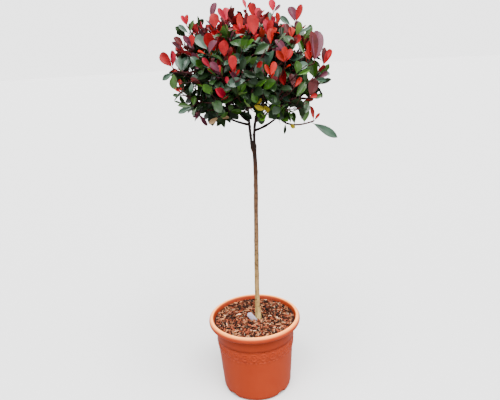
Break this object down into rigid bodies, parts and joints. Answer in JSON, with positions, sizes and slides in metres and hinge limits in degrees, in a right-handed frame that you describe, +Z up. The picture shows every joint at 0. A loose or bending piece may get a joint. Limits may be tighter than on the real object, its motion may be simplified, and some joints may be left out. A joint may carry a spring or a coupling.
{
  "type": "potted standard photinia",
  "caption": "Small standard photinia tree with a rounded crown of red-tipped evergreen leaves on a bare trunk, in a round tapered plastic pot of bark compost.",
  "frame": {"origin": "middle of the pot's flat underside, at the level that the pot stands on", "axes": "+Z up, -Y towards the front of the view in which the low sprig hangs out on the right, +X to the right"},
  "size_m": [0.4291, 0.3932, 1.0634],
  "materials": {
    "pot_plastic": "moulded terracotta-coloured polypropylene, satin",
    "bark_compost": "loose composted bark chips, matt",
    "label_plastic": "plain, blank",
    "trunk_bark": "thin grey-tan bark with lenticels, matt",
    "young_bark": "dark red-brown young bark, satin",
    "foliage": "leathery leaves, glossy above: dark green, with scarlet to crimson young leaves"
  },
  "bodies": {
    "root": {"pot": "pot_plastic", "soil": "bark_compost", "label": "label_plastic", "trunk": "trunk_bark", "leader_left": "young_bark", "leader_right": "young_bark", "bough_low_front_right": "young_bark", "bough_low_right": "young_bark", "bough_low_back_right": "young_bark", "bough_low_back_left": "young_bark", "bough_low_left": "young_bark", "bough_low_front_left": "young_bark", "bough_high_front": "young_bark", "bough_high_back_right": "young_bark", "bough_high_back_left": "young_bark", "bough_high_left": "young_bark", "foliage_low_front_right": "foliage", "foliage_low_right": "foliage", "foliage_low_back_right": "foliage", "foliage_low_back_left": "foliage", "foliage_low_left": "foliage", "foliage_low_front_left": "foliage", "foliage_high_front": "foliage", "foliage_high_right": "foliage", "foliage_high_back_right": "foliage", "foliage_high_back_left": "foliage", "foliage_high_left": "foliage", "foliage_top": "foliage"}
  },
  "joints": []
}
